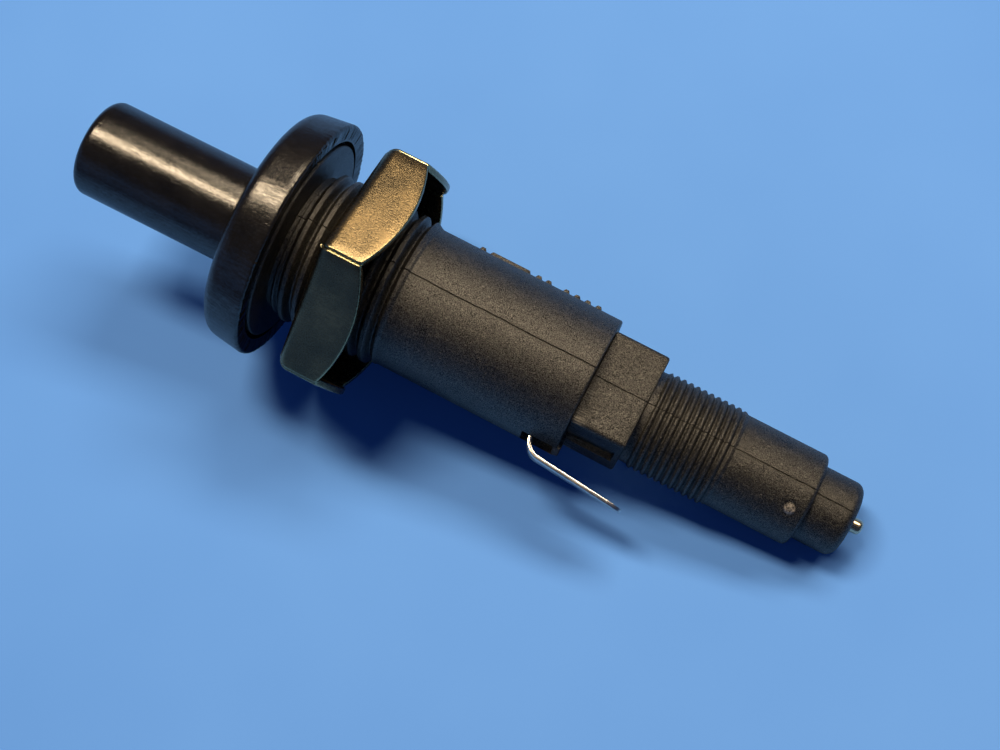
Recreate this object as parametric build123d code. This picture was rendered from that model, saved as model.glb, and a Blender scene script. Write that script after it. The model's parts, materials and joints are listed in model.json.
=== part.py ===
from build123d import *
import math
import os

# Push-button piezo spark igniter for panel mounting, in millimetres.
# The axis of the igniter is the X axis. The button points to -X and the high-voltage pin to +X.
# x = 0 is the face of the front flange that bears on the panel. The earth tab is on the -Y side.

# Front end: glossy cap, flange and button
BEZEL_FRONT_X = -4.65
BEZEL_REAR_X = -0.05
BEZEL_REAR_RADIUS = 12.95
BEZEL_FRONT_RADIUS = 12.5
BEZEL_PLATE = 1.4
BEZEL_SOCKET_RADIUS = 11.1
FLANGE_STEP_X = -1.3
FLANGE_RADIUS = 10.6
UNDERCUT_RADIUS = 8.1
UNDERCUT_DEPTH = 0.3
BUTTON_RADIUS = 5.15
BUTTON_TIP_X = -23.6
BUTTON_COLLAR_X = 1.7
BUTTON_COLLAR_RADIUS = 6.05
BUTTON_COLLAR_LENGTH = 1.5
BUTTON_BORE_RADIUS = 3.7
BUTTON_CROWN = 2.8
BUTTON_HOLE_RADIUS = 5.85
BUTTON_TRAVEL = 7.5
BEZEL_FRONT_ROUND = 1.5
BUTTON_TIP_ROUND = 1.3
EDGE_ROUND = 0.25
EDGE_CHAMFER = 0.3

# Housing: M16 x 1.5 panel thread and plain barrel
THREAD_CREST_RADIUS = 8.0
THREAD_CORE_RADIUS = 7.55
THREAD_PITCH = 1.5
THREAD_CREST_WIDTH = 0.47
THREAD_BASE_WIDTH = 1.08
THREAD_START_X = 0.5
THREAD_END_X = 12.1
THREAD_RUN_OUT = 0.6
BARREL_RADIUS = 7.5
BARREL_END_X = 32.4
HOUSING_BORE_RADIUS = 6.1
COLLAR_BORE_RADIUS = 6.65
COLLAR_BORE_X = 1.6
COLLAR_BORE_END_X = BUTTON_COLLAR_X + BUTTON_COLLAR_LENGTH + BUTTON_TRAVEL + 0.5
WINDOW_LENGTH = 3.8
WINDOW_CLEARANCE = 0.4
MARK_HEIGHT = 0.3
MARK_WIDTH = 2.1
MARK_ANGLE = 6.5
LONG_MARK_X = 17.4
LONG_MARK_LENGTH = 4.6
PIP_LENGTH = 0.8
PIP_STATIONS = (16.2, 22.5, 23.6, 25.6, 26.8, 28.0, 29.2)

# Sheet nut
NUT_FLATS = 24.0
NUT_SHEET = 0.7
NUT_FRONT_X = 4.6
NUT_CORNER_LENGTH = 4.4
NUT_MIDDLE_LENGTH = 5.9
NUT_HOLE_RADIUS = 8.1
NUT_BEND_RADIUS = 1.3
NUT_SLIT = 0.3
NUT_SLIT_START = 0.8
NUT_TURN = -14.0

# Striking mechanism
WIRE_IMPACT = 0.8
WIRE_RETURN = 0.7
WIRE_HAMMER = 0.4
IMPACT_MEAN_RADIUS = 2.9
RETURN_MEAN_RADIUS = 5.35
HAMMER_SPRING_MEAN_RADIUS = 2.95
SEAT_THICKNESS = 0.5
WASHER_X = 12.8
WASHER_THICKNESS = 0.6
HAMMER_RADIUS = 3.5
HAMMER_X = WASHER_X + WASHER_THICKNESS
HAMMER_LENGTH = 7.1
HAMMER_NOSE_RADIUS = 2.2
HAMMER_NOSE_X = 22.0
HAMMER_TRAVEL = 6.0
HAMMER_STUD_RADIUS = 1.2
CROSS_PIN_X = 18.6
CROSS_PIN_RADIUS = 0.9
CROSS_PIN_LENGTH = 10.6
CATCH_ANGLE = 25.0
LANE_SPREAD = 18.0
LANE_CLEARANCE = 0.2
SLEEVE_X = 11.4
SLEEVE_BORE_RADIUS = 3.6
SLEEVE_NECK_RADIUS = 4.4
SLEEVE_SHOULDER_X = 17.0
SLEEVE_RADIUS = 6.0
SLEEVE_STEP_X = 25.9
SLEEVE_TAIL_RADIUS = 5.1
CATCH_X = 19.7
CATCH_THICKNESS = 1.5

# Earth tab and crystal stack
TAB_SHEET = 0.4
TAB_WIDTH = 2.8
TAB_X = 29.35
TAB_BEND_Y = -8.67
TAB_TIP_X = 40.65
TAB_TIP_Y = -9.6
TAB_BEND_RADIUS = 1.5
TAB_CORNER_CUT = 0.9
STACK_X = TAB_X + TAB_SHEET
ANVIL_STEM_RADIUS = 2.2
ANVIL_HEAD_RADIUS = 3.7
ANVIL_END_X = 32.4
CRYSTAL_RADIUS = 3.4
CRYSTAL_LENGTH = 8.5
ELECTRODE_THICKNESS = 0.5
CONTACT_CAP_LENGTH = 1.5
CRYSTAL_SLEEVE_RADIUS = 3.95
CONTACT_MEAN_RADIUS = 1.4
WIRE_CONTACT = 0.45
FIT_GAP = 0.05

# Rear insulator
COLLAR_X = 26.0
COLLAR_RADIUS = 6.05
SQUARE_SIDE = 10.3
SQUARE_END_X = 38.2
SQUARE_CORNER_ROUND = 0.45
GROOVE_LENGTH = 4.9
GROOVE_WIDTH = 3.5
GROOVE_DEPTH = 0.6
REAR_RADIUS = 4.9
REAR_CREST_RADIUS = 5.16
REAR_PITCH = 0.75
REAR_CREST_WIDTH = 0.2
REAR_BASE_WIDTH = 0.62
REAR_THREAD_X = 38.4
REAR_THREAD_END_X = 47.6
REAR_END_X = 56.4
REAR_END_ROUND = 0.7
NOSE_RADIUS = 3.9
NOSE_END_X = 60.9
NOSE_ROUND = 1.2
INSULATOR_BORE_RADIUS = 4.0
PIN_RADIUS = 0.75
PIN_SHANK_RADIUS = 1.2
PIN_TIP_X = 62.35
PIN_TIP_ROUND = 0.45
PIN_HEAD_RADIUS = 2.0
PIN_HEAD_X = 53.6
PIN_HEAD_LENGTH = 1.0
POCKET_RADIUS = 2.2
KEY_LENGTH = 0.4
KEY_STAND = 0.15
NOTCH_CLEARANCE = 0.15

ALONG_X = Rot(0, 90, 0)


def turned(*outline):
    """A solid of revolution about the X axis, from (x, radius) corners."""
    return revolve(make_face(Polyline(*outline, close=True)), Axis.X)


def tube(start, end, outer, inner=0.0):
    """A round bar or tube about the X axis."""
    return turned((start, inner), (start, outer), (end, outer), (end, inner))


def rim(solid, x, radius):
    """The circular edges of a solid at one station and radius."""
    circles = solid.edges().filter_by(GeomType.CIRCLE)
    return [e for e in circles if abs(e.radius - radius) < 0.001 and abs(e.arc_center.X - x) < 0.001]


def coil_spring(start, end, mean_radius, wire, turns):
    """A round-wire compression spring about the X axis, between two seats."""
    height = end - start - wire
    path = Edge.make_helix(height / turns, height, mean_radius)
    section = Plane(origin=path @ 0, z_dir=path % 0) * Circle(wire / 2)
    return Pos(start + wire / 2, 0, 0) * ALONG_X * sweep(section, path=path, is_frenet=True)


def screw_ridge(core_radius, crest_radius, pitch, base_width, crest_width, start, end):
    """The ridge of a single-start screw thread about the X axis, sunk a little into its core."""
    sink = 0.12
    foot = core_radius - sink
    foot_width = base_width + (base_width - crest_width) * sink / (crest_radius - core_radius)
    path = Edge.make_helix(pitch, end - start, core_radius)
    corners = [
        (foot, -foot_width / 2),
        (crest_radius, -crest_width / 2),
        (crest_radius, crest_width / 2),
        (foot, foot_width / 2),
    ]
    section = make_face(Plane.XZ * Polyline(*corners, close=True))
    return Pos(start, 0, 0) * ALONG_X * sweep(section, path=path, is_frenet=True)


def sector(start, end, inner, outer, low_angle, high_angle):
    """A pie-shaped cutter about the X axis; angles are in degrees from +Z towards -Y."""
    face = make_face(Plane.XZ * Polyline((start, inner), (start, outer), (end, outer), (end, inner), close=True))
    face = face.rotate(Axis.X, low_angle)
    return revolve(face, Axis.X, high_angle - low_angle)


def raised_mark(x, length):
    """A plain raised bar on the +Y side of the barrel."""
    foot = 0.5
    height = foot + MARK_HEIGHT
    bar = Box(length, height, MARK_WIDTH)
    return Rot(MARK_ANGLE, 0, 0) * Pos(x + length / 2, BARREL_RADIUS - foot + height / 2, 0) * bar


def front_housing():
    wall_x = BEZEL_FRONT_X + BEZEL_PLATE
    body = turned(
        (wall_x, BUTTON_HOLE_RADIUS),
        (wall_x, BEZEL_SOCKET_RADIUS),
        (FLANGE_STEP_X, BEZEL_SOCKET_RADIUS),
        (FLANGE_STEP_X, FLANGE_RADIUS),
        (0, FLANGE_RADIUS),
        (0, UNDERCUT_RADIUS),
        (-UNDERCUT_DEPTH, UNDERCUT_RADIUS),
        (-UNDERCUT_DEPTH, THREAD_CORE_RADIUS),
        (THREAD_END_X, THREAD_CORE_RADIUS),
        (THREAD_END_X, BARREL_RADIUS),
        (BARREL_END_X, BARREL_RADIUS),
        (BARREL_END_X, HOUSING_BORE_RADIUS),
        (COLLAR_BORE_END_X, HOUSING_BORE_RADIUS),
        (COLLAR_BORE_END_X, COLLAR_BORE_RADIUS),
        (COLLAR_BORE_X, COLLAR_BORE_RADIUS),
        (COLLAR_BORE_X, BUTTON_HOLE_RADIUS),
    )
    body = chamfer(rim(body, BARREL_END_X, BARREL_RADIUS), EDGE_CHAMFER)
    body = fillet(rim(body, 0, FLANGE_RADIUS), EDGE_ROUND / 2)
    thread = screw_ridge(
        THREAD_CORE_RADIUS,
        THREAD_CREST_RADIUS,
        THREAD_PITCH,
        THREAD_BASE_WIDTH,
        THREAD_CREST_WIDTH,
        THREAD_START_X,
        THREAD_END_X - THREAD_RUN_OUT,
    )
    window_width = TAB_WIDTH + WINDOW_CLEARANCE
    window = Pos(BARREL_END_X - WINDOW_LENGTH / 2, -BARREL_RADIUS, 0) * Box(WINDOW_LENGTH, 4, window_width)
    marks = [raised_mark(LONG_MARK_X, LONG_MARK_LENGTH)]
    marks += [raised_mark(x, PIP_LENGTH) for x in PIP_STATIONS]
    return body + thread + marks - window


def bezel_cap():
    plate_rear = BEZEL_FRONT_X + BEZEL_PLATE
    cap = turned(
        (BEZEL_FRONT_X, BUTTON_HOLE_RADIUS),
        (BEZEL_FRONT_X, BEZEL_FRONT_RADIUS),
        (BEZEL_REAR_X, BEZEL_REAR_RADIUS),
        (BEZEL_REAR_X, BEZEL_SOCKET_RADIUS),
        (plate_rear, BEZEL_SOCKET_RADIUS),
        (plate_rear, BUTTON_HOLE_RADIUS),
    )
    cap = fillet(rim(cap, BEZEL_FRONT_X, BEZEL_FRONT_RADIUS), BEZEL_FRONT_ROUND)
    cap = fillet(rim(cap, BEZEL_REAR_X, BEZEL_REAR_RADIUS), EDGE_ROUND)
    return fillet(rim(cap, BEZEL_FRONT_X, BUTTON_HOLE_RADIUS), EDGE_ROUND)


def push_button():
    collar_end = BUTTON_COLLAR_X + BUTTON_COLLAR_LENGTH
    bore_end = BUTTON_TIP_X + BUTTON_CROWN
    button = turned(
        (BUTTON_TIP_X, 0),
        (BUTTON_TIP_X, BUTTON_RADIUS),
        (BUTTON_COLLAR_X, BUTTON_RADIUS),
        (BUTTON_COLLAR_X, BUTTON_COLLAR_RADIUS),
        (collar_end, BUTTON_COLLAR_RADIUS),
        (collar_end, BUTTON_BORE_RADIUS),
        (bore_end, BUTTON_BORE_RADIUS),
        (bore_end, 0),
    )
    return fillet(rim(button, BUTTON_TIP_X, BUTTON_RADIUS), BUTTON_TIP_ROUND)


def hexagon_cup(apothem, base, height, bend_radius):
    """A hexagonal block with its lower outer edges rounded."""
    corner_radius = apothem / math.cos(math.radians(30))
    block = Pos(0, 0, base) * extrude(RegularPolygon(radius=corner_radius, side_count=6), height)
    lower_edges = [e for e in block.edges().filter_by(GeomType.LINE) if abs(e.center().Z - base) < 0.001]
    return fillet(lower_edges, bend_radius)


def panel_nut():
    """A hex nut folded from sheet: a plate with six flaps whose rear edges bulge at mid-flat."""
    apothem = NUT_FLATS / 2
    corner_radius = apothem / math.cos(math.radians(30))
    half_side = corner_radius / 2
    outside = hexagon_cup(apothem, 0, NUT_MIDDLE_LENGTH, NUT_BEND_RADIUS)
    inside = hexagon_cup(apothem - NUT_SHEET, NUT_SHEET, NUT_MIDDLE_LENGTH, NUT_BEND_RADIUS - NUT_SHEET)
    flap_outline = make_face(
        Polyline((half_side, NUT_CORNER_LENGTH), (half_side, 0), (-half_side, 0), (-half_side, NUT_CORNER_LENGTH))
        + ThreePointArc((-half_side, NUT_CORNER_LENGTH), (0, NUT_MIDDLE_LENGTH), (half_side, NUT_CORNER_LENGTH))
    )
    flaps = []
    for i in range(6):
        facing = Plane(origin=(0, 0, 0), x_dir=(0, 1, 0), z_dir=(1, 0, 0)).rotated((0, 0, 30 + 60 * i))
        flaps.append(extrude(facing * flap_outline, apothem + 1))
    nut = (outside - inside) & (flaps[0] + flaps[1:])
    for i in range(6):
        slit = Pos(corner_radius, 0, NUT_SLIT_START + NUT_MIDDLE_LENGTH / 2) * Box(5, NUT_SLIT, NUT_MIDDLE_LENGTH)
        nut -= Rot(0, 0, 60 * i) * slit
    nut -= Cylinder(NUT_HOLE_RADIUS, 4)
    return Pos(NUT_FRONT_X, 0, 0) * Rot(-NUT_TURN, 0, 0) * ALONG_X * nut


def guide_sleeve():
    """The fixed sleeve that guides the hammer. Its windows have a catch tooth for the cross pin."""
    sleeve = turned(
        (SLEEVE_X, SLEEVE_BORE_RADIUS),
        (SLEEVE_X, SLEEVE_NECK_RADIUS),
        (SLEEVE_SHOULDER_X, SLEEVE_NECK_RADIUS),
        (SLEEVE_SHOULDER_X, SLEEVE_RADIUS),
        (SLEEVE_STEP_X, SLEEVE_RADIUS),
        (SLEEVE_STEP_X, SLEEVE_TAIL_RADIUS),
        (TAB_X, SLEEVE_TAIL_RADIUS),
        (TAB_X, SLEEVE_BORE_RADIUS),
    )
    window_start = CROSS_PIN_X - CROSS_PIN_RADIUS - LANE_CLEARANCE
    window_end = CROSS_PIN_X + HAMMER_TRAVEL + CROSS_PIN_RADIUS + LANE_CLEARANCE
    catch_end = CATCH_X + CATCH_THICKNESS
    lane_width = 2 * (CROSS_PIN_RADIUS + LANE_CLEARANCE)
    cut_inner = SLEEVE_BORE_RADIUS - 0.5
    cut_outer = SLEEVE_RADIUS + 0.5
    lane = Box(window_end - window_start, lane_width, 4 * SLEEVE_RADIUS)
    sleeve -= Pos((window_start + window_end) / 2, 0, 0) * lane
    for side in (0, 180):
        low = side - CATCH_ANGLE - LANE_SPREAD
        high = side + LANE_SPREAD
        sleeve -= sector(window_start, CATCH_X, cut_inner, cut_outer, low, high)
        sleeve -= sector(catch_end, window_end, cut_inner, cut_outer, low, high)
    return sleeve


def hammer():
    """The hammer, with a stud for the thrust washer and a nose that strikes the anvil."""
    hammer_end = HAMMER_X + HAMMER_LENGTH
    body = turned(
        (WASHER_X, 0),
        (WASHER_X, HAMMER_STUD_RADIUS),
        (HAMMER_X, HAMMER_STUD_RADIUS),
        (HAMMER_X, HAMMER_RADIUS),
        (hammer_end, HAMMER_RADIUS),
        (hammer_end, HAMMER_NOSE_RADIUS),
        (HAMMER_NOSE_X, HAMMER_NOSE_RADIUS),
        (HAMMER_NOSE_X, 0),
    )
    body = chamfer(rim(body, HAMMER_NOSE_X, HAMMER_NOSE_RADIUS), EDGE_CHAMFER)
    body = chamfer(rim(body, HAMMER_X, HAMMER_RADIUS), EDGE_CHAMFER)
    return body - Pos(CROSS_PIN_X, 0, 0) * Cylinder(CROSS_PIN_RADIUS, 10)


def cross_pin():
    pin = Pos(CROSS_PIN_X, 0, 0) * Cylinder(CROSS_PIN_RADIUS, CROSS_PIN_LENGTH)
    return chamfer(pin.edges().filter_by(GeomType.CIRCLE), EDGE_CHAMFER / 2)


def earth_tab():
    """A contact ring under the anvil, with a flat tab that leaves the barrel and turns rearwards."""
    half = TAB_SHEET / 2
    middle_x = TAB_X + half
    slope = math.atan2(TAB_TIP_Y - TAB_BEND_Y, TAB_TIP_X - middle_x)
    shift_x = -half * math.sin(slope)
    shift_y = half * math.cos(slope)
    corner_rise = half * math.tan(slope) + half / math.cos(slope)
    inner_corner = (middle_x + half, TAB_BEND_Y + corner_rise)
    outer_corner = (middle_x - half, TAB_BEND_Y - corner_rise)
    profile = make_face(
        Polyline(
            (TAB_X, -4),
            outer_corner,
            (TAB_TIP_X - shift_x, TAB_TIP_Y - shift_y),
            (TAB_TIP_X + shift_x, TAB_TIP_Y + shift_y),
            inner_corner,
            (TAB_X + TAB_SHEET, -4),
            close=True,
        )
    )
    profile = fillet(profile.vertices().sort_by_distance(inner_corner)[0], TAB_BEND_RADIUS)
    profile = fillet(profile.vertices().sort_by_distance(outer_corner)[0], TAB_BEND_RADIUS + TAB_SHEET)
    strip = extrude(profile, TAB_WIDTH / 2, both=True)
    for side in (1, -1):
        corner_place = Pos(TAB_TIP_X, TAB_TIP_Y, side * TAB_WIDTH / 2) * Rot(0, 45, 0)
        strip -= corner_place * Box(TAB_CORNER_CUT, 3, TAB_CORNER_CUT)
    ring = tube(TAB_X, STACK_X, SLEEVE_TAIL_RADIUS - FIT_GAP, ANVIL_STEM_RADIUS + 2 * FIT_GAP)
    return strip + ring


def anvil():
    part = turned(
        (HAMMER_NOSE_X + HAMMER_TRAVEL, 0),
        (HAMMER_NOSE_X + HAMMER_TRAVEL, ANVIL_STEM_RADIUS),
        (STACK_X, ANVIL_STEM_RADIUS),
        (STACK_X, ANVIL_HEAD_RADIUS),
        (ANVIL_END_X, ANVIL_HEAD_RADIUS),
        (ANVIL_END_X, 0),
    )
    return chamfer(rim(part, HAMMER_NOSE_X + HAMMER_TRAVEL, ANVIL_STEM_RADIUS), EDGE_CHAMFER)


def rear_insulator():
    """The insulator: collar in the barrel, square, fine screw thread, plain cylinder and nose."""
    core = turned(
        (COLLAR_X, SLEEVE_TAIL_RADIUS + FIT_GAP),
        (COLLAR_X, COLLAR_RADIUS),
        (BARREL_END_X, COLLAR_RADIUS),
        (BARREL_END_X, REAR_RADIUS),
        (REAR_END_X, REAR_RADIUS),
        (REAR_END_X, NOSE_RADIUS),
        (NOSE_END_X, NOSE_RADIUS),
        (NOSE_END_X, 0),
        (STACK_X, 0),
        (STACK_X, SLEEVE_TAIL_RADIUS + FIT_GAP),
    )
    core = fillet(rim(core, REAR_END_X, REAR_RADIUS), REAR_END_ROUND)
    core = fillet(rim(core, NOSE_END_X, NOSE_RADIUS), NOSE_ROUND)
    square_length = SQUARE_END_X - BARREL_END_X
    square = Pos((BARREL_END_X + SQUARE_END_X) / 2, 0, 0) * Box(square_length, SQUARE_SIDE, SQUARE_SIDE)
    square = fillet(square.edges().filter_by(Axis.X), SQUARE_CORNER_ROUND)
    square = fillet(square.faces().sort_by(Axis.X)[-1].edges(), EDGE_ROUND)
    groove = Box(GROOVE_LENGTH, 2 * GROOVE_DEPTH, GROOVE_WIDTH)
    groove = Pos(BARREL_END_X + GROOVE_LENGTH / 2, -SQUARE_SIDE / 2, 0) * groove
    ridge = screw_ridge(
        REAR_RADIUS,
        REAR_CREST_RADIUS,
        REAR_PITCH,
        REAR_BASE_WIDTH,
        REAR_CREST_WIDTH,
        REAR_THREAD_X + REAR_PITCH / 2,
        REAR_THREAD_END_X - REAR_PITCH / 2,
    )
    cap_end = ANVIL_END_X + 2 * CRYSTAL_LENGTH + ELECTRODE_THICKNESS + CONTACT_CAP_LENGTH
    bore = tube(STACK_X, cap_end, INSULATOR_BORE_RADIUS)
    pocket = tube(cap_end, PIN_HEAD_X + PIN_HEAD_LENGTH, POCKET_RADIUS)
    pin_hole = tube(PIN_HEAD_X, NOSE_END_X, PIN_SHANK_RADIUS)
    notch_start = TAB_X - NOTCH_CLEARANCE
    notch_width = TAB_WIDTH + 2 * NOTCH_CLEARANCE
    tab_notch = Box(STACK_X - notch_start, 4, notch_width)
    tab_notch = Pos((notch_start + STACK_X) / 2, -SLEEVE_TAIL_RADIUS - 1, 0) * tab_notch
    key_height = BARREL_RADIUS - HOUSING_BORE_RADIUS
    key = Box(KEY_LENGTH, key_height, notch_width)
    key = Pos(BARREL_END_X - KEY_LENGTH / 2, -BARREL_RADIUS + key_height / 2 + KEY_STAND, 0) * key
    return core + square + ridge + key - groove - bore - pocket - pin_hole - tab_notch


def ht_pin():
    """The high-voltage pin: head, shank in the insulator and thinner free end."""
    head_end = PIN_HEAD_X + PIN_HEAD_LENGTH
    pin = turned(
        (PIN_HEAD_X, 0),
        (PIN_HEAD_X, PIN_HEAD_RADIUS),
        (head_end, PIN_HEAD_RADIUS),
        (head_end, PIN_SHANK_RADIUS),
        (NOSE_END_X, PIN_SHANK_RADIUS),
        (NOSE_END_X, PIN_RADIUS),
        (PIN_TIP_X, PIN_RADIUS),
        (PIN_TIP_X, 0),
    )
    return fillet(rim(pin, PIN_TIP_X, PIN_RADIUS), PIN_TIP_ROUND)


collar_end_x = BUTTON_COLLAR_X + BUTTON_COLLAR_LENGTH
seat_x = BUTTON_TIP_X + BUTTON_CROWN
spring_x = seat_x + SEAT_THICKNESS
electrode_x = ANVIL_END_X + CRYSTAL_LENGTH
rear_crystal_x = electrode_x + ELECTRODE_THICKNESS
cap_x = rear_crystal_x + CRYSTAL_LENGTH
cap_end_x = cap_x + CONTACT_CAP_LENGTH

pieces = {
    "front_housing": front_housing(),
    "bezel_cap": bezel_cap(),
    "push_button": push_button(),
    "button_spring_seat": tube(seat_x, spring_x, BUTTON_BORE_RADIUS - 2 * FIT_GAP),
    "impact_spring": coil_spring(spring_x, WASHER_X, IMPACT_MEAN_RADIUS, WIRE_IMPACT, 15),
    "return_spring": coil_spring(collar_end_x, SLEEVE_SHOULDER_X, RETURN_MEAN_RADIUS, WIRE_RETURN, 6),
    "thrust_washer": tube(WASHER_X, HAMMER_X, HAMMER_RADIUS - 2 * FIT_GAP, HAMMER_STUD_RADIUS + 2 * FIT_GAP),
    "hammer": hammer(),
    "cross_pin": cross_pin(),
    "hammer_return_spring": coil_spring(
        HAMMER_X + HAMMER_LENGTH, TAB_X, HAMMER_SPRING_MEAN_RADIUS, WIRE_HAMMER, 4.5
    ),
    "guide_sleeve": guide_sleeve(),
    "earth_tab": earth_tab(),
    "anvil": anvil(),
    "front_crystal": tube(ANVIL_END_X, electrode_x, CRYSTAL_RADIUS),
    "centre_electrode": tube(electrode_x, rear_crystal_x, CRYSTAL_RADIUS),
    "rear_crystal": tube(rear_crystal_x, cap_x, CRYSTAL_RADIUS),
    "contact_cap": tube(cap_x, cap_end_x, CRYSTAL_RADIUS),
    "crystal_sleeve": tube(ANVIL_END_X, cap_end_x, CRYSTAL_SLEEVE_RADIUS, CRYSTAL_RADIUS + FIT_GAP),
    "contact_spring": coil_spring(cap_end_x, PIN_HEAD_X, CONTACT_MEAN_RADIUS, WIRE_CONTACT, 3),
    "ht_pin": ht_pin(),
    "rear_insulator": rear_insulator(),
    "panel_nut": panel_nut(),
}

os.makedirs("parts", exist_ok=True)
for name, piece in pieces.items():
    export_step(piece, f"parts/{name}.step")
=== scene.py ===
import json
import math

import bmesh
import bpy
import numpy as np
from mathutils import Euler, Matrix, Vector


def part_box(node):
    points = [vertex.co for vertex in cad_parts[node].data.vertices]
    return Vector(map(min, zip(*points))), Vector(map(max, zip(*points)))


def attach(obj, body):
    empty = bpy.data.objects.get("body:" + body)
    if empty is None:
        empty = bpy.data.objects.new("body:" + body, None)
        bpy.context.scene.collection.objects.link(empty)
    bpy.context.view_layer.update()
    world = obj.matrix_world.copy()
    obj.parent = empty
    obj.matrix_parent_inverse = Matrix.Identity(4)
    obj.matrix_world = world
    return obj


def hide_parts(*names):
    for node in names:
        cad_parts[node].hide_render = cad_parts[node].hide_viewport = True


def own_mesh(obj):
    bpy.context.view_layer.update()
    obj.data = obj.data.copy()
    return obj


# Visual model of a push-button piezo igniter. All lengths in the code are in metres: MM turns
# millimetres into metres. The axis is X, with the button towards -X and the pin towards +X.
# Angles round the axis are right-handed about +X, measured from +Y, so +Z is 90 degrees.

MM = 0.001

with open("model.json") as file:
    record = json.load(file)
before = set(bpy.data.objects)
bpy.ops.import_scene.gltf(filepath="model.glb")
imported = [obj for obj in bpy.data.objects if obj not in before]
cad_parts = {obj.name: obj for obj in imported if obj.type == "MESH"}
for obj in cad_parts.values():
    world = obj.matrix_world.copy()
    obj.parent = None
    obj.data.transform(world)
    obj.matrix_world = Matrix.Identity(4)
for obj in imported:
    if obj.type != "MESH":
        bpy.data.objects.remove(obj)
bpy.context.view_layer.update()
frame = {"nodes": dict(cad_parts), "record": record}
nodes = frame["nodes"]


# ---------------------------------------------------------------- places from the frame

def span(node):
    """The axial start and end of a CAD node, in millimetres."""
    low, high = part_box(node)
    return low.x / MM, high.x / MM


HOUSING_START, BARREL_END = span("front_housing")
BEZEL_FRONT, BEZEL_REAR = span("bezel_cap")
BUTTON_TIP, BUTTON_END = span("push_button")
NOSE_END = span("rear_insulator")[1]
NUT_FRONT, NUT_REAR = span("panel_nut")
BEZEL_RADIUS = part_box("bezel_cap")[1].z / MM
SOCKET_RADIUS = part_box("front_housing")[1].z / MM

# ---------------------------------------------------------------- sizes, in millimetres

BARREL_RADIUS = 7.5
THREAD_CREST = 8.0
THREAD_ROOT = 7.2
THREAD_PITCH = 1.5
THREAD_END = 12.1
THREAD_CREST_SHARE = 0.26
THREAD_BASE_SHARE = 0.92
FLANGE_STEP = -1.3
FLANGE_RADIUS = 10.65
BORE_RADIUS = 6.1
COLLAR_BORE_RADIUS = 6.65
COLLAR_BORE = (1.6, 11.2)
BUTTON_RADIUS = 5.15
BUTTON_HOLE = 5.85
BUTTON_BORE_RADIUS = 3.7
BUTTON_CROWN = 2.8
BUTTON_COLLAR_LENGTH = 1.5
BUTTON_TRAVEL = 7.5
BUTTON_PLAY = 0.61
BUTTON_TILT = 0.0109
BUTTON_LEAN_ANGLE = 195.0
HAMMER_TRAVEL = 6.0
WINDOW_START = 28.6
WINDOW_HALF_ANGLE = 12.3
TAB_X = 29.35
TAB_WIDTH = 2.8
TAB_HALF_SHEET = 0.19
TAB_BEND_Y = -8.67
TAB_BEND_RADIUS = 1.7
TAB_TWIST = -11.0
NUT_APOTHEM = 12.0
NUT_SHEET = 0.7
NUT_BEND = 1.3
NUT_HOLE = 8.1
NUT_CORNER_LENGTH = 4.4
NUT_SLIT_HALF_WIDTH = 0.15
NUT_TURN = 14.0
SQUARE_SIDE = 10.3
SQUARE_END = 38.2
SQUARE_CORNER = 0.5
SQUARE_START = BARREL_END
GROOVE_HALF_WIDTH = 1.75
GROOVE_LENGTH = 4.9
GROOVE_DEPTH = 0.6
REAR_RADIUS = 4.9
REAR_CREST = 5.16
REAR_PITCH = 0.75
REAR_CREST_SHARE = 0.22
REAR_BASE_SHARE = 0.95
REAR_THREAD = (38.75, 47.7)
REAR_END = 56.4
NOSE_RADIUS = 3.9
COLLAR_RADIUS = 6.05
THREAD_PHASE = 0.258
MARK_WIDTH = 2.1
MARK_ANGLE = 6.5
MARK_HEIGHT = 0.3
LONG_MARK = (17.4, 22.0)
PIP_LENGTH = 0.8
PIP_STATIONS = (16.2, 22.5, 23.6, 25.6, 26.8, 28.0, 29.2)
GATE_ANGLE = 123.0
GATE_MARK = (
    54.7,
    REAR_RADIUS * math.cos(math.radians(GATE_ANGLE)),
    REAR_RADIUS * math.sin(math.radians(GATE_ANGLE)),
)

# A radius of this much in the insulator's profile stands for the outline of the square. What it
# has on top is how far that row lies inside the outline.
SQUARE_MARK = 100.0


# ---------------------------------------------------------------- mesh helpers

def new_object(name, vertices, faces, body):
    """A smooth-shaded mesh piece that rides on a body. Vertices are in millimetres."""
    mesh = bpy.data.meshes.new(name)
    mesh.from_pydata((np.asarray(vertices, float) * MM).tolist(), [], faces)
    mesh.validate()
    obj = bpy.data.objects.new(name, mesh)
    bpy.context.scene.collection.objects.link(obj)
    work = bmesh.new()
    work.from_mesh(mesh)
    bmesh.ops.recalc_face_normals(work, faces=work.faces)
    work.to_mesh(mesh)
    work.free()
    mesh.polygons.foreach_set("use_smooth", [True] * len(mesh.polygons))
    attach(obj, body)
    return obj


def sharpen(obj, angle=32):
    """Splits the shading at edges sharper than an angle."""
    mesh = obj.data
    work = bmesh.new()
    work.from_mesh(mesh)
    limit = math.radians(angle)
    for edge in work.edges:
        if len(edge.link_faces) == 2 and edge.calc_face_angle(0) > limit:
            edge.smooth = False
    work.to_mesh(mesh)
    work.free()


def around(step, dense_at=(), dense_width=1.6, dense_step=0.16):
    """Angles in degrees round the axis, closer together near the stated ones."""
    angles = set(np.round(np.arange(0, 360, step), 4).tolist())
    for middle in dense_at:
        low, high = middle - dense_width, middle + dense_width
        angles = {a for a in angles if not low < a < high}
        angles |= set(np.round(np.arange(low, high + 0.001, dense_step), 4).tolist())
    return np.array(sorted(angles))


def steps(start, end, spacing):
    """Evenly spaced values from start to end, both included."""
    count = max(2, int(round(abs(end - start) / spacing)) + 1)
    return np.linspace(start, end, count)


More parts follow.
